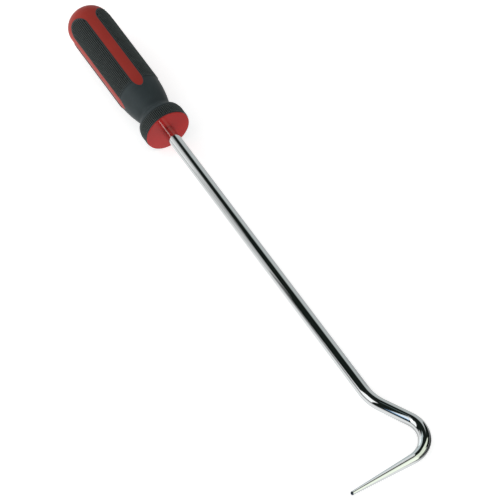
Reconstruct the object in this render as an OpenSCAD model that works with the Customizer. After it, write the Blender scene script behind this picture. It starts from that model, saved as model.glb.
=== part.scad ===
// Windscreen seal hook: a long chromed rod with an offset hook and a tapered point,
// fixed in a screwdriver-style handle of hard plastic with a soft windowed grip over it.
// The tool frame has its origin on the axis at the handle's end face, with the rod along +X
// and the hook bent in the XY plane. The finished tool is then turned as it lies on a floor:
// on the rim of its collar, the end of its elbow and the tip of its point.

/* [Rod] */
// Diameter of the rod
rod_d = 8; // [6:0.5:9]
// Straight length from the handle's end face to the first bend
rod_l = 239; // [150:1:350]
// Length of the rod's tail inside the handle
tail_l = 76; // [60:1:90]
// Width across the two wings swaged on the tail
wing_w = 12; // [10:0.5:14]
// Thickness of each wing
wing_t = 1.6; // [1:0.1:3]
// Length of the wings along the rod
wing_l = 14; // [8:1:20]
// Distance from the wings to the buried end of the rod
wing_end = 6; // [4:1:12]

/* [Hook] */
// Angle of the first bend, out to the side
offset_angle = 28; // [15:1:40]
// Centreline radius of the first bend
offset_r = 30; // [20:1:45]
// Straight length between the two bends
offset_l = 19.5; // [10:0.5:30]
// Angle of the elbow, back across the rod's line
elbow_angle = 114; // [90:1:120]
// Centreline radius of the elbow
elbow_r = 17.5; // [15:0.5:26]
// Straight length of the point after the elbow
point_l = 43.5; // [30:0.5:60]
// Length of the taper, back from the tip and round into the elbow
taper_l = 59; // [50:1:70]
// Diameter of the rounded tip
tip_d = 2.4; // [1.6:0.2:4]

/* [Handle] */
// Overall length of the handle
handle_l = 117; // [105:1:130]
// Diameter of the handle's body
body_d = 29.4; // [27:0.2:33]
// Radius that rounds the butt into a dome
dome_r = 12.5; // [8:0.5:13]
// Distance from the end face to the start of the full body
flare_z = 41.5; // [38:0.5:46]
// Diameter of the waist behind the collar
waist_d = 22; // [20:0.2:24]
// Radius of the hollow at the waist
waist_r = 4.5; // [3:0.5:6]

/* [Collar] */
// Diameter of the collar
collar_d = 30.2; // [29:0.2:34]
// Distance from the end face to the start of the collar's rounded shoulder
collar_z = 9; // [6:0.5:10]
// Radius of the collar's shoulder
shoulder_r = 4.5; // [3:0.5:5]
// Diameter of the hard end disc
disc_d = 30.2; // [28:0.2:30.2]
// Radius on the rim of the end disc
disc_edge_r = 0.5; // [0.4:0.1:1.5]

/* [Grip windows] */
// Number of hard ribs that show through the soft grip
rib_n = 4; // [3:1:5]
// Width of each rib
rib_w = 7.2; // [5:0.2:9]
// Distance from the end face to the ribs' lower tips
rib_z = 32; // [28:0.5:34]
// Length of the rounded lower end of each rib
rib_tip_l = 7.5; // [4:0.5:10]
// Distance from the end face to where the grip's fingers begin to round off
finger_z = 97.4; // [85:0.2:100]
// Thickness of the soft grip over the hard core
grip_t = 2.3; // [1.4:0.1:3]
// Depth of the ribs and the dome below the soft grip's surface
rib_sink = 0.2; // [0.1:0.05:0.5]
// Turn of the ribs about the rod, measured from the upper side
rib_turn = -5; // [-45:1:45]

/* [Hidden] */

$fn = 96;
// Angles between the points of an arc, on the small arcs and on the long flare
arc_step = 7.5;
neck_step = 0.8;
// Rings of the tapered point: sides of a ring, angle between rings and rings over the tip
ring_sides = 48;
ring_step = 4;
nose_rings = 4;
// How far two lengths of rod reach into each other, and how far the inner one lies below the surface
joint_overlap = 1;
joint_step = 0.02;
// Where the cutting shapes for the ribs and the fingers begin and how far they reach, from the axis
zone_r = 6;
reach = 40;

rod_r = rod_d / 2;
tip_r = tip_d / 2;
body_r = body_d / 2;
collar_r = collar_d / 2;

// The hook's centreline, from the first bend to the tip
bend_end = [rod_l + offset_r * sin(offset_angle), offset_r * (1 - cos(offset_angle))];
elbow_start = bend_end + offset_l * [cos(offset_angle), sin(offset_angle)];
elbow_c = elbow_start + elbow_r * [sin(offset_angle), -cos(offset_angle)];
start_turn = 90 + offset_angle;
end_turn = start_turn - elbow_angle;
elbow_end = elbow_c + elbow_r * [cos(end_turn), sin(end_turn)];
point_dir = [sin(end_turn), -cos(end_turn)];
tip_end = elbow_end + point_l * point_dir;
tip_ball = tip_end - tip_r * point_dir;
taper_turn = (taper_l - point_l) / elbow_r * 180 / PI;

// The waist's hollow touches the collar's shoulder, and the flare touches the hollow and the body
shoulder_c = [collar_r - shoulder_r, collar_z];
hollow_x = waist_d / 2 + waist_r;
hollow_gap = hollow_x - shoulder_c.x;
hollow_z = collar_z + sqrt(pow(shoulder_r + waist_r, 2) - pow(hollow_gap, 2));
flare_gap = hollow_x - body_r;
flare_h = flare_z - hollow_z;
flare_r = (pow(flare_gap, 2) + pow(flare_h, 2) - pow(waist_r, 2)) / (2 * (waist_r - flare_gap));
flare_turn = asin(flare_h / (flare_r + waist_r));
shoulder_turn = acos(hollow_gap / (shoulder_r + waist_r));
dome_z = handle_l - dome_r;

// The fingers' ends are cones from the axis that meet the ribs' edges on the body's surface
rib_pitch = 360 / rib_n;
finger_half = rib_pitch / 2 - asin(rib_w / 2 / body_r);

// Points along an arc from one angle to another, in equal steps no longer than the one given
function arc(centre, radius, from, to, step) =
    let (count = ceil(abs(to - from) / step))
    [for (i = [0 : count]) let (a = from + (to - from) * i / count) centre + radius * [cos(a), sin(a)]];

// The radius of the point at a distance back from the tip, and the turn of its ring
function point_r(u) = tip_r + (rod_r - joint_step - tip_r) * min(u, taper_l) / taper_l;
function ring_turn(u) = end_turn + max(0, u - point_l) / elbow_r * 180 / PI;
function ring_c(u) =
    u <= point_l ? tip_end - u * point_dir
    : elbow_c + elbow_r * [cos(ring_turn(u)), sin(ring_turn(u))];

// The floor under the tool: its upward normal, found by repeating the balance of the three supports
rim_x = -disc_edge_r;
heel_r = point_r(point_l);
function sag(n, d) = sqrt(1 - pow(n * d, 2));
function floor_normal(n, k) =
    let (
        a = [rim_x - tip_ball.x, -tip_ball.y],
        b = elbow_end - tip_ball,
        p = collar_r * sag(n, [1, 0]) - tip_r,
        q = heel_r * sag(n, point_dir) - tip_r,
        det = a.x * b.y - a.y * b.x,
        m = [(p * b.y - q * a.y) / det, (a.x * q - b.x * p) / det]
    )
    k == 0 ? [n.x, n.y, sqrt(1 - n * n)] : floor_normal(m, k - 1);
up = floor_normal([0, 0], 8);
lean = acos(up.z);
lean_axis = [up.y, -up.x, 0];
floor_h = tip_ball * [up.x, up.y] - tip_r;

// A point of the tool's plane after the turn on to the floor
function laid(p) =
    let (
        k = lean_axis / norm(lean_axis),
        v = [p.x, p.y, 0]
    )
    v * cos(lean) + cross(k, v) * sin(lean) + k * (k * v) * (1 - cos(lean));
butt_x = laid([-handle_l, 0]).x;
front_x = laid(elbow_c).x + elbow_r + rod_r;
side_y = laid(elbow_c).y + elbow_r + rod_r;
tip_y = laid(tip_ball).y - tip_r;
lie_shift = [-(butt_x + front_x) / 2, -(side_y + tip_y) / 2, -floor_h];

// Places a shape made in the tool frame as the tool lies on the floor
module as_it_lies() {
    translate(lie_shift)
        rotate(a = lean, v = lean_axis)
            children();
}

// Places a shape made upwards along the handle's axis, from the end face to the butt
module on_handle() {
    rotate([0, -90, 0])
        rotate(rib_turn)
            children();
}

// A straight length of rod along X
module straight(length) {
    rotate([0, 90, 0])
        cylinder(h = length, r = rod_r);
}

// A core that joins two lengths of rod inside their faces
module joint_core() {
    translate([-joint_overlap, 0, 0])
        rotate([0, 90, 0])
            cylinder(h = 2 * joint_overlap, r = rod_r - joint_step);
}

// A bend of the rod that starts along X and turns towards +Y, or towards -Y when the side is -1
module bend(radius, angle, side) {
    mirror([0, (1 - side) / 2, 0])
        translate([0, radius, 0])
            rotate(-90)
                rotate_extrude(angle = angle)
                    translate([radius, 0])
                        circle(rod_r);
}

// Places the next length of rod where such a bend ends
module after_bend(radius, angle) {
    translate([0, radius, 0])
        rotate(angle)
            translate([0, -radius, 0])
                children();
}

// The tapered end of the rod: rings swept from inside the elbow, along the point and over its tip
module tapered_point() {
    nose = [for (i = [1 : nose_rings]) let (a = 90 * i / nose_rings) [tip_r * (1 - cos(a)), tip_r * sin(a)]];
    turns = ceil(taper_turn / ring_step);
    bent = [for (i = [0 : turns]) let (u = point_l + (taper_l - point_l) * i / turns) [u, point_r(u)]];
    rings = concat(nose, bent, [[taper_l + joint_overlap, point_r(taper_l)]]);
    count = len(rings);
    points = concat(
        [[tip_end.x, tip_end.y, 0]],
        [for (ring = rings) for (j = [0 : ring_sides - 1])
            let (c = ring_c(ring[0]), t = ring_turn(ring[0]), a = 360 * j / ring_sides)
            [c.x + ring[1] * cos(a) * cos(t), c.y + ring[1] * cos(a) * sin(t), ring[1] * sin(a)]]
    );
    function at(i, j) = 1 + i * ring_sides + j % ring_sides;
    faces = concat(
        [for (j = [0 : ring_sides - 1]) [0, at(0, j + 1), at(0, j)]],
        [for (i = [0 : count - 2]) for (j = [0 : ring_sides - 1])
            [at(i, j), at(i, j + 1), at(i + 1, j + 1), at(i + 1, j)]],
        [[for (j = [0 : ring_sides - 1]) at(count - 1, j)]]
    );
    polyhedron(points, faces);
}

// The rod's tail, with two swaged wings that stop it turning or pulling out of the handle
module tail() {
    translate([-tail_l, 0, 0])
        straight(tail_l);
    translate([-tail_l + wing_end, -wing_w / 2, -wing_t / 2])
        cube([wing_l, wing_w, wing_t]);
}

// Half of the handle's section, drawn in by a depth at every radius: collar, shoulder, hollow waist,
// flare, body and dome, each arc running on from the last without a corner
module handle_section(depth) {
    cap_r = min(dome_r, body_r - depth);
    polygon(concat(
        [[0, disc_edge_r], [collar_r - depth, disc_edge_r]],
        arc(shoulder_c - [depth, 0], shoulder_r, 0, shoulder_turn, arc_step),
        arc([hollow_x - depth, hollow_z], waist_r, 180 + shoulder_turn, 180 - flare_turn, arc_step),
        arc([body_r - depth - flare_r, flare_z], flare_r, -flare_turn, 0, neck_step),
        arc([body_r - depth - cap_r, dome_z], cap_r, 0, 90, arc_step),
        [[0, dome_z + cap_r]]
    ));
}

// The handle's form as a solid of revolution
module handle_form(depth) {
    rotate_extrude()
        handle_section(depth);
}

// The hard disc that closes the collar's end, with a rounded rim
module end_disc() {
    disc_r = disc_d / 2;
    rotate_extrude() {
        square([disc_r - disc_edge_r, disc_edge_r]);
        intersection() {
            square([disc_r, disc_edge_r]);
            translate([disc_r - disc_edge_r, disc_edge_r])
                circle(disc_edge_r);
        }
    }
}

// One rib's outline drawn out from the axis: parallel sides and an oval lower end
module rib() {
    oval = [for (a = [180 : 7.5 : 360]) [rib_w / 2 * cos(a), rib_z + rib_tip_l * (1 + sin(a))]];
    translate([zone_r, 0, 0])
        rotate([90, 0, 90])
            linear_extrude(reach)
                polygon(concat(oval, [[rib_w / 2, handle_l], [-rib_w / 2, handle_l]]));
}

// The space of the soft grip: a sleeve cut by the ribs, and four fingers with rounded ends
module grip_zone() {
    spread = tan(finger_half);
    difference() {
        translate([0, 0, disc_edge_r])
            cylinder(h = finger_z - disc_edge_r, r = reach);
        for (i = [0 : rib_n - 1])
            rotate(i * rib_pitch)
                rib();
    }
    intersection() {
        translate([0, 0, finger_z])
            cylinder(h = handle_l, r = reach);
        union() {
            for (i = [0 : rib_n - 1])
                translate([0, 0, finger_z])
                    rotate((i + 0.5) * rib_pitch)
                        rotate([0, 90, 0])
                            translate([0, 0, zone_r])
                                cylinder(h = reach, r1 = zone_r * spread, r2 = (zone_r + reach) * spread);
        }
    }
}

// The chromed rod: tail, shank, offset bend, elbow and tapered point in one piece
module hook_shank() {
    color([0.78, 0.79, 0.8])
        as_it_lies() {
            tail();
            straight(rod_l);
            translate([rod_l, 0, 0]) {
                bend(offset_r, offset_angle, 1);
                after_bend(offset_r, offset_angle) {
                    joint_core();
                    straight(offset_l);
                    translate([offset_l, 0, 0])
                        bend(elbow_r, elbow_angle - taper_turn, -1);
                }
            }
            tapered_point();
        }
}

// The hard core: end disc, stem, ribs and dome in one moulding, with the socket of the rod's tail
module handle_core() {
    color([0.6, 0.13, 0.12])
        as_it_lies()
            difference() {
                on_handle() {
                    end_disc();
                    handle_form(grip_t);
                    difference() {
                        handle_form(rib_sink);
                        grip_zone();
                    }
                }
                tail();
            }
}

// The soft grip moulded round the core: collar, neck and the fingers between the ribs
module soft_grip() {
    color([0.2, 0.22, 0.22])
        as_it_lies()
            on_handle()
                difference() {
                    intersection() {
                        handle_form(0);
                        grip_zone();
                    }
                    handle_form(grip_t);
                }
}

hook_shank();
handle_core();
soft_grip();
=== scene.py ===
"""Looks of the windscreen seal hook: chromed rod, red hard core and soft grip."""

from math import acos, asin, cos, pi, radians, sin, sqrt, tan

import bmesh
import bpy
import numpy as np
from mathutils import Matrix, Vector


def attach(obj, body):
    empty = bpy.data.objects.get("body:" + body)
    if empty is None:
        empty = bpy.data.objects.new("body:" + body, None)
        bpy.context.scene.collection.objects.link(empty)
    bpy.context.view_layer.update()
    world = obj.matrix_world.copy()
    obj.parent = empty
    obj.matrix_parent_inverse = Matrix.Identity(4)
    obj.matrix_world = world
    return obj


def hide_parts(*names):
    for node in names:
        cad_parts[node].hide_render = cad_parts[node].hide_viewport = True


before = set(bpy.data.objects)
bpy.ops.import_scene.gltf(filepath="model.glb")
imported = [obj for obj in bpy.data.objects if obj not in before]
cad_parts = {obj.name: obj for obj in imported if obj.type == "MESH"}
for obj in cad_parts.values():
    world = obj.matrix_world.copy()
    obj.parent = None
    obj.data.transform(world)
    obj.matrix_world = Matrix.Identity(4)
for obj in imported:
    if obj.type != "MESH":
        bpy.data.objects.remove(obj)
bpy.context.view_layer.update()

MM = 0.001

# The tool's own sizes, in millimetres and degrees. The tool frame has its origin on the axis at the
# handle's end face, with the rod along +X and the hook in the XY plane.

# The rod: bar and tail, the wings on the tail, the offset bend, the elbow and the tapered point
ROD_R, ROD_L, TAIL_L = 4.0, 239.0, 76.0
WING_L, WING_W, WING_T, WING_END, WING_EDGE = 14.0, 12.0, 1.6, 6.0, 0.4
OFFSET_ANGLE, OFFSET_R, OFFSET_L = 28.0, 30.0, 19.5
ELBOW_ANGLE, ELBOW_R = 114.0, 17.5
POINT_L, TAPER_L, TIP_R = 43.5, 59.0, 1.2
ROD_SIDES = 64

# The handle: its outline, the end disc, the ribs of the core and the fingers of the grip
HANDLE_L, BODY_R, DOME_R, FLARE_Z = 117.0, 14.7, 12.5, 41.5
WAIST_D, WAIST_R = 22.0, 4.5
COLLAR_R, COLLAR_Z, SHOULDER_R = 15.1, 9.0, 4.5
DISC_R, DISC_EDGE_R, DISC_BACK = 15.1, 0.5, 3.0
RIB_N, RIB_W, RIB_Z, RIB_TIP_L = 4, 7.2, 32.0, 7.5
FINGER_Z, GRIP_T, RIB_SINK, RIB_TURN = 97.4, 2.3, 0.2, -5.0
LIP_R, LIP_START, COLLAR_EDGE_R = 0.5, 0.1, 0.3

# The studs' fields: on the fingers and round the collar
STUD_W, STUD_H, STUD_PITCH, STUD_MARGIN, STUD_TAPER = 0.70, 0.33, 1.15, 0.95, 0.75
STUD_Z, COLLAR_STUD_Z, COLLAR_STUD_L, COLLAR_STUD_W, COLLAR_STUDS = 38.0, 2.0, 6.2, 0.78, 20

# How the tool lies on the floor: the floor's normal in the tool frame, and the shift after the turn.
# TO_WORLD takes millimetres of the tool frame to their place in the scene, and LAY_DOWN takes metres.
FLOOR_UP = Vector((-0.0397023, 0.0457073, 0.998166))
LIE_SHIFT = Vector((-91.4437, 12.8369, 15.0682))
LAY = Matrix.Rotation(acos(FLOOR_UP.z), 4, Vector((FLOOR_UP.y, -FLOOR_UP.x, 0)))
TO_WORLD = Matrix.Scale(MM, 4) @ Matrix.Translation(LIE_SHIFT) @ LAY
LAY_DOWN = TO_WORLD @ Matrix.Scale(1 / MM, 4)

# Worked out from the handle's sizes. HALF_STEP is half of the angle from one rib to the next.
HALF_STEP = pi / RIB_N
SHOULDER_X = COLLAR_R - SHOULDER_R
HOLLOW_X = WAIST_D / 2 + WAIST_R
HOLLOW_Z = COLLAR_Z + sqrt((SHOULDER_R + WAIST_R) ** 2 - (HOLLOW_X - SHOULDER_X) ** 2)
SHOULDER_TOP = COLLAR_Z + (HOLLOW_Z - COLLAR_Z) * SHOULDER_R / (SHOULDER_R + WAIST_R)
FLARE_GAP, FLARE_H = HOLLOW_X - BODY_R, FLARE_Z - HOLLOW_Z
FLARE_R = (FLARE_GAP ** 2 + FLARE_H ** 2 - WAIST_R ** 2) / (2 * (WAIST_R - FLARE_GAP))
HOLLOW_TOP = HOLLOW_Z + FLARE_H * WAIST_R / (FLARE_R + WAIST_R)
DOME_Z = HANDLE_L - DOME_R
FINGER_HALF = HALF_STEP - asin(RIB_W / 2 / BODY_R)
FINGER_TOP = FINGER_Z + BODY_R * tan(FINGER_HALF)

# Colours, in linear red, green and blue
CHROME_DEEP, CHROME_PALE = (0.70, 0.725, 0.73, 1), (0.76, 0.78, 0.785, 1)
BARE_STEEL = (0.03, 0.045, 0.075, 1)
RED_DEEP, RED_PALE = (0.345, 0.031, 0.022, 1), (0.395, 0.039, 0.028, 1)
GLOSS_DEEP, GLOSS_PALE = (0.36, 0.020, 0.020, 1), (0.40, 0.026, 0.024, 1)
RUBBER_DEEP, RUBBER_PALE = (0.026, 0.037, 0.040, 1), (0.047, 0.062, 0.067, 1)
# The studs are the grip's own rubber, coloured lighter: a painted highlight on the stud tops
STUD_HIGHLIT_DEEP, STUD_HIGHLIT_PALE = (0.074, 0.092, 0.090, 1), (0.098, 0.116, 0.113, 1)
WHITE, BLACK = (1, 1, 1, 1), (0, 0, 0, 1)


# Helpers for nodes, materials and pieces
class Nodes:
    """A short way to add nodes to a tree and link them."""

    def __init__(self, tree):
        self.tree = tree

    def add(self, kind, inputs=None, **settings):
        node = self.tree.nodes.new(kind)
        for key, value in settings.items():
            setattr(node, key, value)
        for key, value in (inputs or {}).items():
            self.put(node.inputs[key], value)
        return node

    def put(self, socket, value):
        if isinstance(value, bpy.types.NodeSocket):
            self.tree.links.new(value, socket)
        else:
            socket.default_value = value

    def math(self, operation, a, b=0.0):
        return self.add("ShaderNodeMath", {0: a, 1: b}, operation=operation).outputs[0]

    def measure(self, operation, a, b):
        """The number that a vector operation gives: a distance or a dot product."""
        return self.add("ShaderNodeVectorMath", {0: a, 1: b}, operation=operation).outputs["Value"]

    def map(self, value, low, high, to_low=0.0, to_high=1.0, how="SMOOTHSTEP"):
        return self.add("ShaderNodeMapRange", {0: value, 1: low, 2: high, 3: to_low, 4: to_high},
                        interpolation_type=how).outputs[0]

    def blend(self, factor, a, b, how="MIX"):
        node = self.add("ShaderNodeMix", data_type="RGBA", blend_type=how)
        self.put(node.inputs[0], factor)
        self.put(node.inputs[6], a)
        self.put(node.inputs[7], b)
        return node.outputs[2]

    def noise(self, place, scale, detail, roughness=0.5):
        inputs = {"Vector": place, "Scale": scale, "Detail": detail, "Roughness": roughness}
        return self.add("ShaderNodeTexNoise", inputs).outputs[0]

    def stretch(self, noise, low, high):
        """Takes noise, which lies mostly between 0.3 and 0.7, to the range from low to high."""
        return self.map(noise, 0.3, 0.7, low, high, "LINEAR")

    def bump(self, shader, height, strength, depth):
        """Gives a shader a bump, its depth in metres."""
        node = self.add("ShaderNodeBump", {"Strength": strength, "Distance": depth, "Height": height})
        self.put(shader.inputs["Normal"], node.outputs[0])


def clear_nodes(owner):
    """Empties the node tree of a material or a world, and returns the short way to fill it."""
    owner.use_nodes = True
    owner.node_tree.nodes.clear()
    return Nodes(owner.node_tree)


def new_material(name):
    """A material with one shader. Returns it with its nodes, its shader and the place on the piece."""
    made = bpy.data.materials.new(name)
    n = clear_nodes(made)
    shader = n.add("ShaderNodeBsdfPrincipled")
    n.add("ShaderNodeOutputMaterial", {0: shader.outputs[0]})
    return made, n, shader, n.add("ShaderNodeTexCoord").outputs["Object"]


def new_tree(name, inputs, result):
    """A geometry tree with named inputs, listed by kind, and one result. Returns its nodes and inputs too."""
    tree = bpy.data.node_groups.new(name, "GeometryNodeTree")
    for kind, labels in inputs.items():
        for label in labels:
            tree.interface.new_socket(label, in_out="INPUT", socket_type="NodeSocket" + kind)
    tree.interface.new_socket(result, in_out="OUTPUT", socket_type="NodeSocketGeometry")
    n = Nodes(tree)
    return tree, n, n.add("NodeGroupInput").outputs


def end_tree(n, geometry, finish):
    """Ends a tree with real faces that have their material on."""
    real = n.add("GeometryNodeRealizeInstances", {0: geometry}).outputs[0]
    done = n.add("GeometryNodeSetMaterial", {0: real, "Material": finish}).outputs[0]
    n.add("NodeGroupOutput", {0: done})


def piece(name, data):
    """A new object in the scene, at the origin, unturned and unscaled."""
    thing = bpy.data.objects.new(name, data)
    bpy.context.scene.collection.objects.link(thing)
    return thing


def grown_mesh(source, tree, values, name):
    """Runs a tree on an object, with its inputs set by name, and returns the plain mesh."""
    modifier = source.modifiers.new("Grow", "NODES")
    modifier.node_group = tree
    for item in tree.interface.items_tree:
        if item.item_type == "SOCKET" and item.in_out == "INPUT" and item.name in values:
            modifier[item.identifier] = values[item.name]
    graph = bpy.context.evaluated_depsgraph_get()
    mesh = bpy.data.meshes.new_from_object(source.evaluated_get(graph), depsgraph=graph)
    mesh.name = name
    source.modifiers.remove(modifier)
    bpy.data.objects.remove(source)
    return mesh


# The rod's centreline
def hook_line():
    """Points of the rod's centreline from its buried end to the tip, close together on the bends."""
    points = [(x, 0.0) for x in np.linspace(-TAIL_L, ROD_L, num=64)]
    at, turn = Vector((ROD_L, 0.0)), 0.0

    def heading():
        return Vector((cos(radians(turn)), sin(radians(turn))))

    def bend(radius, angle, steps):
        nonlocal at, turn
        side = 1 if angle > 0 else -1
        centre = at + radius * Vector((-sin(radians(turn)), cos(radians(turn)))) * side
        for i in range(1, steps + 1):
            a = radians(turn + angle * i / steps)
            points.append(tuple(centre - radius * Vector((-sin(a), cos(a))) * side))
        turn += angle
        at = Vector(points[-1])

    def ahead(length, steps):
        nonlocal at
        for i in range(1, steps + 1):
            points.append(tuple(at + heading() * length * i / steps))
        at = Vector(points[-1])

    bend(OFFSET_R, OFFSET_ANGLE, steps=18)
    ahead(OFFSET_L, steps=8)
    bend(ELBOW_R, -ELBOW_ANGLE, steps=60)
    ahead(POINT_L - TIP_R, steps=14)
    tip_steps = 8
    for i in range(1, tip_steps + 1):
        points.append(tuple(at + heading() * TIP_R * sin(pi / 2 * i / tip_steps)))
    return points


HOOK_LINE = hook_line()


# Materials
def chrome():
    """Polished chrome with faint draw lines along the bar, and bare dark steel at the very tip."""
    made, n, s, place = new_material("polished_chrome")
    along, across = 60, 2600
    drawn = n.add("ShaderNodeMapping", {"Vector": place, "Scale": (along, across, across)}).outputs[0]
    lines = n.noise(drawn, scale=1.0, detail=2.0)
    cloud = n.noise(place, scale=60.0, detail=3.0)
    tip = TO_WORLD @ Vector((*HOOK_LINE[-1], 0))
    bare_to, plated_from = 0.0012, 0.0021
    bare = n.map(n.measure("DISTANCE", place, tip), bare_to, plated_from, 1.0, 0.0)
    n.put(s.inputs["Base Color"], n.blend(bare, n.blend(cloud, CHROME_DEEP, CHROME_PALE), BARE_STEEL))
    s.inputs["Metallic"].default_value = 1.0
    line_share, cloud_share = 0.6, 0.4
    wear = n.math("ADD", n.math("MULTIPLY", lines, line_share), n.math("MULTIPLY", cloud, cloud_share))
    n.put(s.inputs["Roughness"], n.stretch(wear, low=0.03, high=0.075))
    n.bump(s, lines, strength=0.04, depth=0.00005)
    return made


def red_plastic():
    """Satin red plastic with a fine grain, for the ribs and the dome."""
    made, n, s, place = new_material("red_hard_plastic")
    cloud = n.noise(place, scale=90.0, detail=3.0, roughness=0.6)
    grain = n.noise(place, scale=2600.0, detail=2.0)
    n.put(s.inputs["Base Color"], n.blend(cloud, RED_DEEP, RED_PALE))
    n.put(s.inputs["Roughness"], n.stretch(cloud, low=0.36, high=0.48))
    s.inputs["Specular IOR Level"].default_value = 0.16
    n.bump(s, grain, strength=0.12, depth=0.0001)
    return made


def gloss_red_plastic():
    """Glossy red plastic, a little uneven, for the end face."""
    made, n, s, place = new_material("red_gloss_plastic")
    cloud = n.noise(place, scale=120.0, detail=3.0)
    n.put(s.inputs["Base Color"], n.blend(cloud, GLOSS_DEEP, GLOSS_PALE))
    n.put(s.inputs["Roughness"], n.stretch(cloud, low=0.04, high=0.07))
    s.inputs["Specular IOR Level"].default_value = 0.22
    n.bump(s, cloud, strength=0.05, depth=0.0002)
    return made


def stud_fields(n, place):
    """Where the studs stand, which is where the grip's rubber gets painted shade between them: 1 in their
    fields on the fingers and round the collar, and 0 elsewhere.
    """
    tool = []
    for way in (Vector((-1, 0, 0)), Vector((0, 1, 0)), Vector((0, 0, 1))):
        way = LAY @ way
        along = n.math("SUBTRACT", n.measure("DOT_PRODUCT", place, way), way.dot(LIE_SHIFT) * MM)
        tool.append(n.math("DIVIDE", along, MM))
    z, across, up = tool
    turn = n.math("SUBTRACT", n.math("ARCTAN2", across, up), radians(RIB_TURN))
    share = n.math("FLOORED_MODULO", n.math("DIVIDE", turn, 2 * HALF_STEP), 1.0)
    off_middle = n.math("ABSOLUTE", n.math("SUBTRACT", share, 0.5))
    aside = n.math("MULTIPLY", off_middle, 2 * HALF_STEP * BODY_R)
    side = n.math("DIVIDE", aside, FINGER_HALF * BODY_R - STUD_MARGIN + STUD_W / 2)
    above = n.math("MAXIMUM", n.math("SUBTRACT", z, FINGER_Z), 0.0)
    rise = n.math("DIVIDE", above, FINGER_TOP - FINGER_Z - 2 * STUD_MARGIN)
    reach = n.math("ADD", n.math("MULTIPLY", rise, rise), n.math("MULTIPLY", side, side))
    # How softly the fields end: by a share of their oval, and by millimetres along the handle
    full_to, none_from = 0.97, 1.08
    row_fade, collar_out, collar_in, top_in, top_out = 2.5, 1.2, 0.2, 0.4, 1.8
    sides = n.map(reach, full_to, none_from, 1.0, 0.0)
    finger = n.math("MULTIPLY", sides, n.map(z, STUD_Z - row_fade, STUD_Z + row_fade))
    top = COLLAR_STUD_Z + COLLAR_STUD_L
    lower = n.map(z, COLLAR_STUD_Z - collar_out, COLLAR_STUD_Z + collar_in)
    upper = n.map(z, top - top_in, top + top_out, 1.0, 0.0)
    return n.math("MAXIMUM", finger, n.math("MULTIPLY", lower, upper))


def soft_rubber(name, deep, pale, rough_low, rough_high, stud_gap_shade=None):
    """Soft rubber with a fine grain. A gap value darkens its colour in the fields where studs stand: painted
    shade between the studs.
    """
    made, n, s, place = new_material(name)
    cloud = n.noise(place, scale=110.0, detail=4.0, roughness=0.6)
    grain = n.noise(place, scale=3200.0, detail=3.0)
    tone = n.blend(cloud, deep, pale)
    if stud_gap_shade is not None:
        # Painted shade: the rubber's colour between the studs is multiplied darker, for the shade that falls
        # there
        dark = n.blend(1.0, tone, (stud_gap_shade, stud_gap_shade, stud_gap_shade, 1), "MULTIPLY")
        tone = n.blend(stud_fields(n, place), tone, dark)
    n.put(s.inputs["Base Color"], tone)
    n.put(s.inputs["Roughness"], n.stretch(cloud, rough_low, rough_high))
    s.inputs["Specular IOR Level"].default_value = 0.18
    n.bump(s, grain, strength=0.25, depth=0.0001)
    return made


CHROME = chrome()
RED = red_plastic()
RED_GLOSS = gloss_red_plastic()
RUBBER = soft_rubber("soft_rubber", RUBBER_DEEP, RUBBER_PALE, rough_low=0.42, rough_high=0.56, stud_gap_shade=0.08)
# Painted highlight: the studs get a lighter copy of the grip's rubber
STUD_RUBBER_HIGHLIT = soft_rubber("stud_rubber_painted_highlight", STUD_HIGHLIT_DEEP, STUD_HIGHLIT_PALE, rough_low=0.50, rough_high=0.62)


# The rod
def rod_tree():
    """Sweeps a round bar along the line it is given, with a taper and a rounded end."""
    inputs = {"Geometry": ["Centreline"], "Float": ["Bar radius", "Tip radius", "Taper length"],
              "Int": ["Sides"], "Material": ["Finish"]}
    tree, n, given = new_tree("Tapered_bar", inputs, "Bar")
    line = n.add("GeometryNodeMeshToCurve", {0: given["Centreline"]}).outputs[0]
    along = n.add("GeometryNodeSplineParameter").outputs["Length"]
    total = n.add("GeometryNodeSplineLength").outputs["Length"]
    left = n.math("SUBTRACT", total, along)
    share = n.math("MINIMUM", n.math("DIVIDE", left, given["Taper length"]), 1.0)
    grown = n.math("MULTIPLY", n.math("SUBTRACT", given["Bar radius"], given["Tip radius"]), share)
    tapered = n.math("ADD", given["Tip radius"], grown)
    flat = n.math("SUBTRACT", 1.0, n.math("MINIMUM", n.math("DIVIDE", left, given["Tip radius"]), 1.0))
    rounded = n.math("MAXIMUM", n.math("SUBTRACT", 1.0, n.math("MULTIPLY", flat, flat)), 0.0)
    size = n.math("MULTIPLY", tapered, n.math("SQRT", rounded))
    ring = n.add("GeometryNodeCurvePrimitiveCircle", {"Resolution": given["Sides"], "Radius": 1.0}).outputs[0]
    bar = n.add("GeometryNodeCurveToMesh", {0: line, 1: ring, "Scale": size, "Fill Caps": True}).outputs[0]
    weld = 1e-6
    bar = n.add("GeometryNodeMergeByDistance", {0: bar, "Distance": weld}).outputs[0]
    bar = n.add("GeometryNodeSetShadeSmooth", {0: bar}).outputs[0]
    end_tree(n, bar, given["Finish"])
    return tree


def add_wings(bm):
    """The tail's wings: one flat bar through the rod, inside the handle."""
    verts = bmesh.ops.create_cube(bm, size=1.0)["verts"]
    middle = WING_END + WING_L / 2 - TAIL_L
    for v in verts:
        v.co = Vector((middle + v.co.x * WING_L, v.co.y * WING_W, v.co.z * WING_T)) * MM
    edges = list({e for v in verts for e in v.link_edges})
    bmesh.ops.bevel(bm, geom=edges, offset=WING_EDGE * MM, segments=2, affect="EDGES", profile=0.5)


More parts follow.
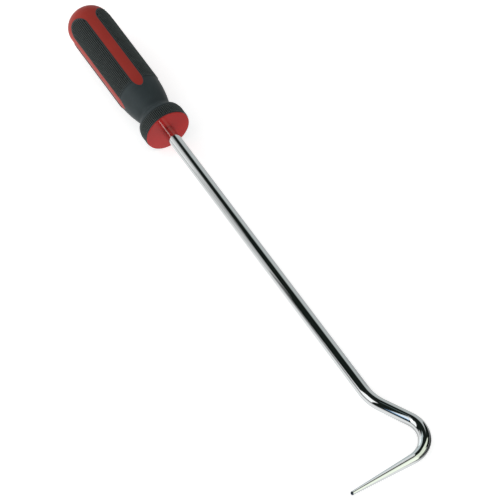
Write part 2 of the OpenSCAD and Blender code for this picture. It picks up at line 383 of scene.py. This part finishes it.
def make_rod():
    line = bpy.data.meshes.new("Centreline")
    points = [(x * MM, y * MM, 0) for x, y in HOOK_LINE]
    line.from_pydata(points, [(i, i + 1) for i in range(len(points) - 1)], [])
    mesh = grown_mesh(piece("Centreline", line), rod_tree(), {
        "Bar radius": ROD_R * MM, "Tip radius": TIP_R * MM, "Taper length": TAPER_L * MM,
        "Sides": ROD_SIDES, "Finish": CHROME}, "hook_rod")
    bm = bmesh.new()
    bm.from_mesh(mesh)
    add_wings(bm)
    bmesh.ops.transform(bm, matrix=LAY_DOWN, verts=bm.verts)
    bmesh.ops.recalc_face_normals(bm, faces=bm.faces)
    bm.to_mesh(mesh)
    bm.free()
    sharp = 50
    mesh.set_sharp_from_angle(angle=radians(sharp))
    return piece("hook_rod", mesh)


# The handle's form
def form_r(z):
    """Radius of the handle's smooth outline at a distance from the end face."""
    if z <= COLLAR_Z:
        return COLLAR_R
    if z <= SHOULDER_TOP:
        return SHOULDER_X + sqrt(SHOULDER_R ** 2 - (z - COLLAR_Z) ** 2)
    if z <= HOLLOW_TOP:
        return HOLLOW_X - sqrt(WAIST_R ** 2 - (z - HOLLOW_Z) ** 2)
    if z <= FLARE_Z:
        return BODY_R - FLARE_R + sqrt(FLARE_R ** 2 - (FLARE_Z - z) ** 2)
    if z <= DOME_Z:
        return BODY_R
    return BODY_R - DOME_R + sqrt(max(DOME_R ** 2 - (z - DOME_Z) ** 2, 0))


def finger_half(z):
    """Half of the angle that one finger of the grip takes up. Below the ribs the fingers meet."""
    if z <= RIB_Z:
        return HALF_STEP
    if z < FINGER_Z:
        share = min((z - RIB_Z) / RIB_TIP_L, 1.0)
        half_rib = RIB_W / 2 * sqrt(max(1 - (1 - share) ** 2, 0))
        return HALF_STEP - asin(half_rib / form_r(z))
    height = (z - FINGER_Z) / BODY_R * cos(FINGER_HALF)
    return asin(sqrt(max(sin(FINGER_HALF) ** 2 - height ** 2, 0)))


def spread(a, b, count):
    """Count even steps from a to b, both ends given."""
    return list(np.linspace(a, b, count + 1))


# Heights of the rows of points on core and grip, from the collar up to the fingers' ends
ARCH_STEPS = [FINGER_Z + (FINGER_TOP - FINGER_Z) * sin(a) for a in np.linspace(0, pi / 2, num=30)]
RIB_STEPS = [RIB_Z + RIB_TIP_L * (1 - cos(a)) for a in np.linspace(0, pi / 2, num=26)]
LOW_STEPS = (spread(COLLAR_Z, SHOULDER_TOP, count=9)[1:] + spread(SHOULDER_TOP, HOLLOW_TOP, count=16)[1:]
             + spread(HOLLOW_TOP, RIB_Z, count=14)[1:])
BODY_STEPS = spread(RIB_STEPS[-1], FLARE_Z, count=4)[1:] + spread(FLARE_Z, FINGER_Z, count=34)[1:-1]

# The edge between a finger and the rib beside it, unrolled: distance round the handle and along it
EDGE = np.array([(finger_half(z) * form_r(z), z) for z in RIB_STEPS + BODY_STEPS + ARCH_STEPS])


def to_tool(angle, r, z):
    """A point of the handle, by its angle from the first rib, in the tool frame."""
    a = angle + radians(RIB_TURN)
    return (-z, r * sin(a), r * cos(a))


class Skin:
    """Collects rows of points and joins them with faces."""

    def __init__(self):
        self.points, self.faces = [], []

    def row(self, points):
        start = len(self.points)
        self.points += points
        return list(range(start, len(self.points)))

    def join(self, a, b, skip=()):
        for i in range(len(a)):
            j = (i + 1) % len(a)
            if i not in skip:
                self.faces.append((a[i], a[j], b[j], b[i]))

    def mesh(self, name, materials):
        """The finished mesh, laid down, with its double points merged."""
        weld, speck, sharp = 2e-6, 1e-7, 38
        made = bpy.data.meshes.new(name)
        made.from_pydata([Vector(p) for p in self.points], [], self.faces)
        bm = bmesh.new()
        bm.from_mesh(made)
        bmesh.ops.transform(bm, matrix=TO_WORLD, verts=bm.verts)
        bmesh.ops.remove_doubles(bm, verts=bm.verts, dist=weld)
        bmesh.ops.dissolve_degenerate(bm, edges=bm.edges, dist=speck)
        bmesh.ops.recalc_face_normals(bm, faces=bm.faces)
        for f in bm.faces:
            f.smooth = True
        bm.to_mesh(made)
        bm.free()
        for material in materials:
            made.materials.append(material)
        made.set_sharp_from_angle(angle=radians(sharp))
        return made


def lathe(skin, outline, count):
    """Turns a closed outline of (z, r) points about the axis."""
    rows = [skin.row([to_tool(2 * pi * i / count, r, z) for i in range(count)]) for z, r in outline]
    for a, b in zip(rows, rows[1:] + rows[:1]):
        skin.join(a, b)


def lip_depth(angle, z):
    """How far the grip's surface rounds down near the edge of a finger."""
    x = abs(angle) * form_r(z)
    a, b = EDGE[:-1], EDGE[1:]
    p = np.array([x, z])
    least = 1e-12
    along = np.clip(((p - a) * (b - a)).sum(1) / np.maximum(((b - a) ** 2).sum(1), least), 0, 1)
    d = float(np.sqrt(((a + (b - a) * along[:, None] - p) ** 2).sum(1)).min())
    inner = LIP_R - LIP_START - d
    return LIP_R - sqrt(LIP_R ** 2 - inner ** 2) if inner > 0 else 0.0


def make_grip():
    """The grip: four fingers side by side, one sleeve below the ribs, with a lip round each window."""
    skin = Skin()
    # Points across a finger, in millimetres from its edge: close together on the lip, then even to the middle
    lip_points = (0, 0.05, 0.11, 0.19, 0.3, 0.42, 0.8, 1.4)
    even_from, even_count, under_count, lip_below_ribs = 2.2, 6, 7, 1.0
    half_width = FINGER_HALF * BODY_R
    half = [1 - d / half_width for d in lip_points]
    half += list(np.linspace(1 - even_from / half_width, 0, even_count))
    across = [-f for f in half] + half[::-1][1:]
    under = list(np.linspace(1, -1, under_count))
    front = [(DISC_EDGE_R + COLLAR_EDGE_R * (1 - cos(a)), COLLAR_R - COLLAR_EDGE_R * (1 - sin(a)))
             for a in np.linspace(0, pi / 2, num=5)]
    heights = spread(front[-1][0], COLLAR_Z, count=7)[1:] + LOW_STEPS
    heights += RIB_STEPS[1:] + BODY_STEPS + ARCH_STEPS
    rows = front + [(z, form_r(z)) for z in heights]
    walls = {len(across) - 1, len(across) + len(under) - 1}
    for k in range(RIB_N):
        centre = (2 * k + 1) * HALF_STEP
        last = first = None
        for z, r in rows:
            h = finger_half(z)
            lips = z > RIB_Z - lip_below_ribs
            outer = [to_tool(centre + f * h, r - (lip_depth(f * h, z) if lips else 0), z) for f in across]
            inner = [to_tool(centre + f * h, form_r(z) - GRIP_T, z) for f in under]
            row = skin.row(outer + inner)
            if last:
                skin.join(last, row, walls if z <= RIB_Z else ())
            else:
                first = row
            last = row
        ends = [round(i * (len(across) - 1) / (under_count - 1)) for i in range(under_count)]
        back = first[len(across):][::-1]
        for i in range(under_count - 1):
            ring = [first[j] for j in range(ends[i], ends[i + 1] + 1)]
            skin.faces.append(tuple(ring + [back[i + 1], back[i]]))
    return piece("grip_sleeve", skin.mesh("grip_sleeve", [RUBBER]))


def make_core():
    """The core: a turned end disc, and behind it the body with its ribs and dome."""
    skin = Skin()
    core_r, face_rings, disc_sides = COLLAR_R - GRIP_T, (6.0, 9.0, 12.0), 128
    rim = [(DISC_EDGE_R * (1 - sin(a)), DISC_R - DISC_EDGE_R * (1 - cos(a)))
           for a in np.linspace(pi / 2, 0, num=7)]
    hole = [(DISC_BACK, ROD_R), (0.0, ROD_R)]
    back = [(DISC_EDGE_R, core_r), (DISC_BACK, core_r)]
    lathe(skin, hole + [(0.0, r) for r in face_rings] + rim + back, disc_sides)
    window, bed = list(np.linspace(-1, 1, num=15)), list(np.linspace(-1, 1, num=9))

    def ring(z, raised, sunk):
        """A ring of points: raised in the windows between the fingers, and sunk under the fingers."""
        h = finger_half(z)
        out = []
        for k in range(RIB_N):
            out += [to_tool(2 * k * HALF_STEP + f * (HALF_STEP - h), raised, z) for f in window]
            out += [to_tool((2 * k + 1) * HALF_STEP + f * h, sunk, z) for f in bed]
        return skin.row(out)

    # The body starts inside the disc, and its last ring on the dome is small and flat
    start_z, last_r = 1.0, 1.0
    rows = [ring(start_z, 0.0, 0.0), ring(start_z, core_r, core_r)]
    rows += [ring(z, form_r(z) - GRIP_T, form_r(z) - GRIP_T) for z in [COLLAR_Z] + LOW_STEPS]
    rows += [ring(z, form_r(z) - RIB_SINK, form_r(z) - GRIP_T) for z in RIB_STEPS + BODY_STEPS + ARCH_STEPS]
    dome_from = asin((FINGER_TOP - DOME_Z) / DOME_R)
    dome = [FINGER_TOP] + [DOME_Z + DOME_R * sin(a) for a in np.linspace(dome_from, pi / 2, num=22)]
    rows += [ring(z, form_r(z) - RIB_SINK, form_r(z) - RIB_SINK) for z in dome]
    rows += [ring(HANDLE_L, last_r, last_r), ring(HANDLE_L, 0.0, 0.0)]
    for a, b in zip(rows, rows[1:]):
        skin.join(a, b)
    mesh = skin.mesh("hard_core", [RED, RED_GLOSS])
    gloss_depth = 1.5
    divide = TO_WORLD @ Vector((-gloss_depth, 0, 0))
    outward = (TO_WORLD @ Vector((1, 0, 0)) - TO_WORLD @ Vector((0, 0, 0))).normalized()
    for f in mesh.polygons:
        if (f.center - divide).dot(outward) > 0:
            f.material_index = 1
    return piece("hard_core", mesh)


# The grip's studs
def stud_tree():
    """A field of small studs laid flat, cut to a finger's outline and wrapped round the handle."""
    inputs = {"Float": ["Field width", "Field length", "Start", "Pitch", "Stud width", "Stud height",
                        "Body radius", "Flare end", "Flare radius", "Arch start", "Arch height", "Turn"],
              "Material": ["Finish"]}
    tree, n, g = new_tree("Grip_studs", inputs, "Studs")

    def count(length):
        return n.math("ADD", n.math("FLOOR", n.math("DIVIDE", length, g["Pitch"])), 1.0)

    def greater(a, b):
        compare = n.add("FunctionNodeCompare", {0: a, 1: b}, data_type="FLOAT", operation="GREATER_THAN")
        return compare.outputs[0]

    def position():
        place = n.add("GeometryNodeInputPosition").outputs[0]
        return n.add("ShaderNodeSeparateXYZ", {0: place}).outputs

    across, along = count(g["Field width"]), count(g["Field length"])
    size_x = n.math("MULTIPLY", n.math("SUBTRACT", across, 1.0), g["Pitch"])
    size_y = n.math("MULTIPLY", n.math("SUBTRACT", along, 1.0), g["Pitch"])
    grid = n.add("GeometryNodeMeshGrid", {0: size_x, 1: size_y, 2: across, 3: along}).outputs[0]

    # Points past the finger's oval end are left out
    oval_edge = 1.02
    spot = position()
    middle = n.math("ADD", n.math("MULTIPLY", size_y, 0.5), g["Start"])
    above = n.math("SUBTRACT", n.math("ADD", spot[1], middle), g["Arch start"])
    rise = n.math("DIVIDE", n.math("MAXIMUM", above, 0.0), g["Arch height"])
    side = n.math("DIVIDE", spot[0], n.math("MULTIPLY", g["Field width"], 0.5))
    reach = n.math("ADD", n.math("MULTIPLY", rise, rise), n.math("MULTIPLY", side, side))
    both = n.add("FunctionNodeBooleanMath", {0: greater(reach, oval_edge), 1: greater(rise, 0.0)},
                 operation="AND").outputs[0]
    field = n.add("GeometryNodeDeleteGeometry", {0: grid, 1: both}, domain="POINT").outputs[0]

    # Each stud is a blunt pyramid that reaches its own height below the surface and above it
    half_diagonal = 0.7071
    foot = n.math("MULTIPLY", g["Stud width"], half_diagonal)
    shape = {"Vertices": 4, "Radius Top": n.math("MULTIPLY", foot, STUD_TAPER), "Radius Bottom": foot,
             "Depth": n.math("MULTIPLY", g["Stud height"], 2.0)}
    stud = n.add("GeometryNodeMeshCone", shape, fill_type="NGON").outputs[0]
    turned = n.add("FunctionNodeEulerToRotation", {0: (0, 0, pi / 4)}).outputs[0]
    on_points = {"Points": field, "Instance": stud, "Rotation": turned}
    studs = n.add("GeometryNodeInstanceOnPoints", on_points).outputs[0]
    studs = n.add("GeometryNodeRealizeInstances", {0: studs}).outputs[0]
    lowered = n.math("MULTIPLY", g["Stud height"], -1.0)
    shift = n.add("ShaderNodeCombineXYZ", {1: middle, 2: lowered}).outputs[0]
    studs = n.add("GeometryNodeTransform", {0: studs, "Translation": shift}).outputs[0]

    # The flat field is wrapped round the handle, and drops with the flare below the body
    flat = position()
    before = n.math("MAXIMUM", n.math("SUBTRACT", g["Flare end"], flat[1]), 0.0)
    drop = n.math("DIVIDE", n.math("MULTIPLY", before, before), n.math("MULTIPLY", g["Flare radius"], 2.0))
    radius = n.math("SUBTRACT", n.math("ADD", flat[2], g["Body radius"]), drop)
    angle = n.math("ADD", n.math("DIVIDE", flat[0], g["Body radius"]), g["Turn"])
    round_x = n.math("MULTIPLY", flat[1], -1.0)
    round_y = n.math("MULTIPLY", radius, n.math("SINE", angle))
    round_z = n.math("MULTIPLY", radius, n.math("COSINE", angle))
    wrapped = n.add("ShaderNodeCombineXYZ", {0: round_x, 1: round_y, 2: round_z}).outputs[0]
    studs = n.add("GeometryNodeSetPosition", {0: studs, "Position": wrapped}).outputs[0]
    end_tree(n, studs, g["Finish"])
    return tree


def make_studs():
    """One mesh of all the studs: a field on each finger, and one round a quarter of the collar below it."""
    tree = stud_tree()
    top = FINGER_TOP - STUD_MARGIN
    collar_pitch = 2 * HALF_STEP * COLLAR_R / COLLAR_STUDS
    # The collar's field isn't cut to an oval, so its arch starts past the field
    past_field = 50.0
    fingers = {"Pitch": STUD_PITCH, "Field width": 2 * (FINGER_HALF * BODY_R - STUD_MARGIN),
               "Field length": top - STUD_Z, "Start": STUD_Z, "Body radius": BODY_R, "Stud width": STUD_W,
               "Arch start": FINGER_Z, "Arch height": top - FINGER_Z, "Flare end": FLARE_Z}
    collar = {"Pitch": collar_pitch, "Field width": (COLLAR_STUDS - 0.5) * collar_pitch,
              "Field length": COLLAR_STUD_L, "Start": COLLAR_STUD_Z, "Body radius": COLLAR_R,
              "Stud width": COLLAR_STUD_W, "Arch start": past_field, "Arch height": 1.0, "Flare end": 0.0}
    whole = bmesh.new()
    for k in range(RIB_N):
        for patch in (fingers, collar):
            values = dict(patch, **{"Stud height": STUD_H, "Flare radius": FLARE_R})
            values = {key: float(value) * MM for key, value in values.items()}
            values["Turn"] = (2 * k + 1) * HALF_STEP + radians(RIB_TURN)
            values["Finish"] = STUD_RUBBER_HIGHLIT
            empty = bpy.data.meshes.new("Stud_field")
            mesh = grown_mesh(piece("Stud_field", empty), tree, values, "Stud_patch")
            whole.from_mesh(mesh)
            bpy.data.meshes.remove(mesh)
    bmesh.ops.transform(whole, matrix=LAY_DOWN, verts=whole.verts)
    bmesh.ops.recalc_face_normals(whole, faces=whole.faces)
    made = bpy.data.meshes.new("grip_studs")
    whole.to_mesh(made)
    whole.free()
    made.materials.append(STUD_RUBBER_HIGHLIT)
    return piece("grip_studs", made)


rod = make_rod()
core = make_core()
grip = make_grip()
studs = make_studs()
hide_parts("hook_shank")
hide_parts("handle_core")
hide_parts("soft_grip")
for thing, slot in ((rod, "chromed_steel"), (core, "red_plastic"), (grip, "soft_grip"), (studs, "soft_grip")):
    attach(thing, "root")


# Floor, studio, lamps and camera. Places are in metres, and angles in degrees.
def pale_floor():
    """White to the camera. Shiny surfaces see it dimmer away from the rod, and dark beyond the elbow."""
    made = bpy.data.materials.new("pale_floor")
    n = clear_nodes(made)
    ray = n.add("ShaderNodeLightPath").outputs
    place = n.add("ShaderNodeTexCoord").outputs["Object"]
    y = n.add("ShaderNodeSeparateXYZ", {0: place}).outputs[1]
    rise_from, rise_to, fall_from, fall_to = -0.1, 0.006, 0.0127, 0.0227
    near_level, rod_level, far_level = 0.34, 0.98, 0.57
    shine = n.map(y, rise_from, rise_to, near_level, rod_level)
    shine = n.math("MINIMUM", shine, n.map(y, fall_from, fall_to, rod_level, far_level))
    dark_spot, dark_to, dark_edge, dark_level = (0.235, 0.075, 0), 0.050, 0.061, 0.05
    spot = n.map(n.measure("DISTANCE", place, dark_spot), dark_to, dark_edge, dark_level, 1.0)
    shine = n.math("MULTIPLY", shine, spot)
    seen_level = 0.62
    seen = n.math("MAXIMUM", ray["Is Camera Ray"], ray["Is Transmission Ray"])
    level = n.math("ADD", n.math("MULTIPLY", seen, seen_level), ray["Is Diffuse Ray"])
    level = n.math("ADD", level, n.math("MULTIPLY", ray["Is Glossy Ray"], shine))
    paint, bounce = (0.8, 0.8, 0.8, 1), (1, 0.94, 0.88, 1)
    coat = n.add("ShaderNodeBsdfDiffuse", {"Color": n.blend(ray["Is Glossy Ray"], paint, BLACK)}).outputs[0]
    tint = n.blend(ray["Is Diffuse Ray"], WHITE, bounce)
    glow = n.add("ShaderNodeEmission", {"Color": tint, "Strength": level}).outputs[0]
    both = n.add("ShaderNodeAddShader", {0: coat, 1: glow}).outputs[0]
    n.add("ShaderNodeOutputMaterial", {0: both})
    return made


def make_floor():
    half = 6.0
    corners = [(-half, -half, 0), (half, -half, 0), (half, half, 0), (-half, half, 0)]
    mesh = bpy.data.meshes.new("floor")
    mesh.from_pydata(corners, [], [(0, 1, 2, 3)])
    mesh.materials.append(pale_floor())
    floor = piece("floor", mesh)


# Cards on the studio's wall, which only shiny surfaces see. Each has its middle azimuth and half width,
# its lowest and highest elevation, the softness of its sides, its lower and its upper edge, and its colour.
STUDIO_WALL = (0.010, 0.014, 0.012, 1)
STUDIO_CARDS = (
    (150, 29, -90, 48, 1.5, 2, 5, (0.56, 0.59, 0.59, 1)),
    (-178, 18, -90, 47, 3, 2, 3, (0.60, 0.67, 0.68, 1)),
    (41, 25, 16, 70, 4, 5, 3, (0.93, 0.99, 0.82, 1)),
    (80, 17, 34, 64, 4, 4, 3, (0.93, 0.99, 0.82, 1)),
    (21, 12, -90, 56, 4, 2, 8, (1.22, 1.28, 1.10, 1)),
    (-107.5, 14.5, 7, 51, 1.0, 1.5, 2.5, (1.25, 1.25, 1.25, 1)),
    (-48.5, 9, 20, 35, 2, 2, 2, (7.5, 7.0, 6.6, 1)),
    (-144, 60, 72.5, 75.0, 8, 0.8, 0.8, (0.10, 0.13, 0.13, 1)),
)


def make_world():
    """A studio: white to the camera, grey to matt surfaces, a dark room with pale cards to shiny ones."""
    world = bpy.data.worlds.new("studio")
    bpy.context.scene.world = world
    n = clear_nodes(world)
    way = n.add("ShaderNodeTexCoord").outputs["Generated"]
    x, y, z = n.add("ShaderNodeSeparateXYZ", {0: way}).outputs
    height = n.math("ARCSINE", z)
    ray = n.add("ShaderNodeLightPath").outputs
    tent = STUDIO_WALL
    for centre, half, low, high, soft_side, soft_low, soft_high, colour in STUDIO_CARDS:
        c, s = cos(radians(centre)), sin(radians(centre))
        ahead = n.math("ADD", n.math("MULTIPLY", x, c), n.math("MULTIPLY", y, s))
        aside = n.math("SUBTRACT", n.math("MULTIPLY", y, c), n.math("MULTIPLY", x, s))
        turn = n.math("ABSOLUTE", n.math("ARCTAN2", aside, ahead))
        inside = n.map(turn, radians(half - soft_side), radians(half + soft_side), 1.0, 0.0)
        above = n.map(height, radians(low - soft_low), radians(low + soft_low))
        below = n.map(height, radians(high - soft_high), radians(high + soft_high), 1.0, 0.0)
        card = n.math("MULTIPLY", inside, n.math("MULTIPLY", above, below))
        tent = n.blend(card, tent, colour)
    grey = (0.45, 0.45, 0.45, 1)
    seen = n.math("MAXIMUM", ray["Is Camera Ray"], ray["Is Transmission Ray"])
    shade = n.blend(seen, n.blend(ray["Is Glossy Ray"], grey, tent), WHITE)
    background = n.add("ShaderNodeBackground", {"Color": shade, "Strength": 1.0}).outputs[0]
    n.add("ShaderNodeOutputWorld", {0: background})


def soft_lamp(name, place, target, size, power, shiny=False, diffuse=True, tint=(1, 1, 1)):
    """A rectangular lamp that the camera doesn't see. A shiny one shows in chrome and glossy plastic."""
    lamp = bpy.data.lights.new(name, "AREA")
    lamp.shape = "RECTANGLE"
    lamp.size, lamp.size_y = size
    lamp.energy = power
    lamp.color = tint
    thing = piece(name, lamp)
    thing.location = place
    thing.rotation_mode = "QUATERNION"
    thing.rotation_quaternion = (Vector(target) - Vector(place)).to_track_quat("-Z", "Y")
    thing.visible_glossy = shiny
    thing.visible_diffuse = diffuse
    thing.visible_camera = False


def make_lamps():
    soft_lamp("key_lamp", place=(0.15, -0.95, 1.1), target=(0, 0, 0), size=(1.2, 1.2), power=2.8)
    soft_lamp("front_lamp", place=(0.9, -0.3, 0.35), target=(-0.09, 0.012, 0.015), size=(0.4, 0.4), power=1.1)
    # Three cards stand on the floor to the left of the handle, as the camera sees it. Each has its two
    # ends along their line, its height, its brightness and how far it stands behind the first, because
    # lamps in one plane hide each other from shiny surfaces.
    foot = Vector((-0.2225, -0.1275, 0))
    along, facing = Vector((-0.657, 0.754, 0)), Vector((0.754, 0.657, 0))
    side_cards = ((-0.15, 0.14, 0.20, 0.46, 0.0), (-0.06, 0.14, 0.28, 0.26, 0.004),
                  (-0.22, 0.0, 0.10, 0.20, 0.008))
    for start, end, tall, level, behind in side_cards:
        middle = foot + along * (start + end) / 2 - facing * behind + Vector((0, 0, tall / 2))
        power = level * pi * (end - start) * tall
        soft_lamp("side_card", middle, middle + facing, (end - start, tall), power, shiny=True)
    soft_lamp("blue_window", place=(0.1895, -0.0734, 0.0748), target=(0.1758, 0.0239, 0.006),
              size=(0.013, 0.080), power=0.0018, shiny=True, diffuse=False, tint=(0.36, 0.64, 1.0))
    soft_lamp("point_card", place=(0.188, -0.0035, 0.035), target=(0.188, -0.0035, 0.0),
              size=(0.026, 0.047), power=0.0031, shiny=True, diffuse=False)


# Where the photograph was taken from, and the pixel of it on which the end face's centre lands
CAMERA_AZIMUTH, CAMERA_ELEVATION, CAMERA_DISTANCE = 60.19, 47.26, 2.2
PICTURE_SIZE, PIXELS_PER_MM = 500, 1.5875
FACE_PIXEL_X, FACE_PIXEL_Y = 168.29, 130.85


def make_camera():
    azimuth, elevation = radians(CAMERA_AZIMUTH), radians(CAMERA_ELEVATION)
    back = Vector((sin(azimuth) * cos(elevation), -cos(azimuth) * cos(elevation), sin(elevation)))
    right = Vector((cos(azimuth), sin(azimuth), 0))
    up = back.cross(right)
    face = TO_WORLD @ Vector((0, 0, 0))
    off_x = (FACE_PIXEL_X - PICTURE_SIZE / 2) / PIXELS_PER_MM * MM
    off_y = (FACE_PIXEL_Y - PICTURE_SIZE / 2) / PIXELS_PER_MM * MM
    lens = bpy.data.cameras.new("camera")
    lens.sensor_width = 36
    lens.lens = PIXELS_PER_MM / MM * CAMERA_DISTANCE / PICTURE_SIZE * lens.sensor_width
    lens.clip_start, lens.clip_end = 0.05, 30
    camera = piece("camera", lens)
    camera.location = face + back * CAMERA_DISTANCE - right * off_x + up * off_y
    camera.rotation_mode = "QUATERNION"
    camera.rotation_quaternion = Matrix((right, up, back)).transposed().to_quaternion()
    bpy.context.scene.camera = camera


make_floor()
make_world()
make_lamps()
make_camera()
bpy.context.scene.view_settings.view_transform = "Standard"
